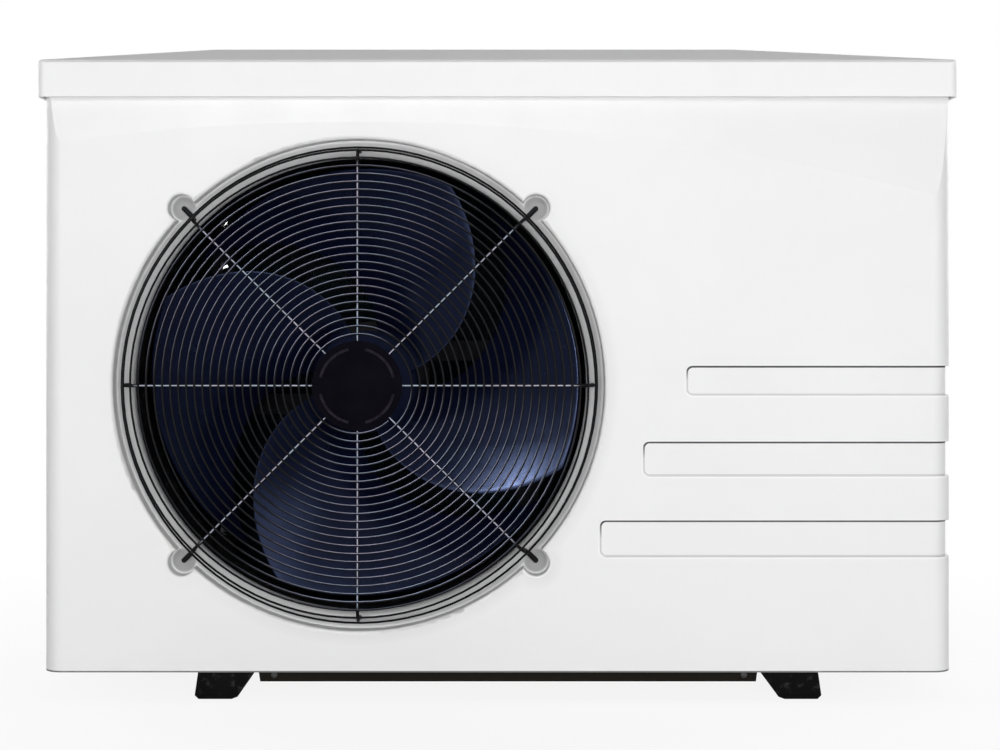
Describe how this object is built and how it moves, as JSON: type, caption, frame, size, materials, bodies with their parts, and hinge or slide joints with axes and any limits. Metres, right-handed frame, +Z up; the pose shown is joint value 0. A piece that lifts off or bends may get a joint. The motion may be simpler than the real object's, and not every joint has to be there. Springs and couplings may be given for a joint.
{
  "type": "pool heat pump",
  "caption": "Box-shaped pool heat pump with a hipped lid, a spiral wire grille over an axial fan, a side keypad, rear water unions and moulded feet.",
  "frame": {"origin": "on the floor, under the middle of the overall box", "axes": "+X to the right as seen from the front, +Y from the front to the rear, +Z up"},
  "size_m": [0.96, 0.4556, 0.6846],
  "materials": {
    "white_plastic": "satin",
    "white_steel": "satin",
    "guard_plastic": "matte",
    "zinc_steel": "galvanised",
    "black_plastic": "matte",
    "bar_paint": "matte",
    "grille_wire": "satin",
    "fan_plastic": "satin",
    "motor_paint": "satin",
    "coated_fins": "coated",
    "copper": "drawn",
    "compressor_paint": "satin",
    "rubber": "matte",
    "brass": "satin",
    "pipe_plastic": "satin",
    "board": "coated",
    "terminal": "matte",
    "sink": "extruded",
    "keypad_plastic": "matte",
    "display": "gloss",
    "buttons": "satin",
    "gauge_black": "satin",
    "needle_red": "matte",
    "lens": "clear"
  },
  "bodies": {
    "casing": {"front_panel": "white_plastic", "top_cover": "white_plastic", "right_panel": "white_steel", "rear_panel": "white_steel", "rear_guard": "guard_plastic", "left_guard": "guard_plastic", "corner_post": "white_plastic", "base_pan": "zinc_steel", "foot_left": "black_plastic", "foot_right": "black_plastic", "base_bar": "bar_paint", "drain_spigot": "black_plastic", "partition": "zinc_steel", "grille_spiral": "grille_wire", "grille_spokes": "grille_wire", "grille_hub": "black_plastic", "fan_shroud": "black_plastic", "fan_motor": "motor_paint", "motor_bracket": "zinc_steel", "motor_screws": "zinc_steel", "evaporator_fins": "coated_fins", "evaporator_end_plate": "zinc_steel", "evaporator_bends": "copper", "compressor": "compressor_paint", "accumulator": "compressor_paint", "compressor_grommets": "rubber", "compressor_nuts": "zinc_steel", "reversing_valve": "brass", "expansion_valve": "brass", "discharge_pipe": "copper", "suction_pipe": "copper", "exchanger_pipe": "copper", "evaporator_pipe": "copper", "liquid_pipe": "copper", "feed_pipe": "copper", "exchanger_vessel": "pipe_plastic", "exchanger_caps": "black_plastic", "water_pipes": "pipe_plastic", "union_gaskets": "rubber", "union_tails": "pipe_plastic", "union_nuts": "black_plastic", "flow_switch": "black_plastic", "electrical_box": "zinc_steel", "electrical_cover": "zinc_steel", "control_board": "board", "terminal_block": "terminal", "heat_sink": "sink", "cable_glands": "black_plastic", "keypad_bezel": "keypad_plastic", "keypad_display": "display", "gauge_case": "gauge_black", "gauge_lens": "lens"},
    "fan": {"fan_rotor": "fan_plastic", "fan_nut": "zinc_steel", "motor_shaft": "zinc_steel"},
    "key_power": {"button_power": "buttons"},
    "key_mode": {"button_mode": "buttons"},
    "key_up": {"button_up": "buttons"},
    "key_down": {"button_down": "buttons"},
    "needle": {"gauge_needle": "needle_red"}
  },
  "joints": [
    {"name": "fan_spin", "type": "hinge", "parent": "casing", "child": "fan", "pos_m": [-0.145, 0, 0.329], "axis": [0, -1, 0], "continuous": true},
    {"name": "press_power", "type": "slide", "parent": "casing", "child": "key_power", "axis": [-1, 0, 0], "range_m": [0, 0.0012], "stiffness_N_per_m": 500},
    {"name": "press_mode", "type": "slide", "parent": "casing", "child": "key_mode", "axis": [-1, 0, 0], "range_m": [0, 0.0012], "stiffness_N_per_m": 500},
    {"name": "press_up", "type": "slide", "parent": "casing", "child": "key_up", "axis": [-1, 0, 0], "range_m": [0, 0.0012], "stiffness_N_per_m": 500},
    {"name": "press_down", "type": "slide", "parent": "casing", "child": "key_down", "axis": [-1, 0, 0], "range_m": [0, 0.0012], "stiffness_N_per_m": 500},
    {"name": "needle_sweep", "type": "hinge", "parent": "casing", "child": "needle", "pos_m": [0.2595, 0.17833, 0.399], "axis": [0, -1, 0], "range_deg": [-135, 135], "stiffness_Nm_per_rad": 0.002}
  ]
}
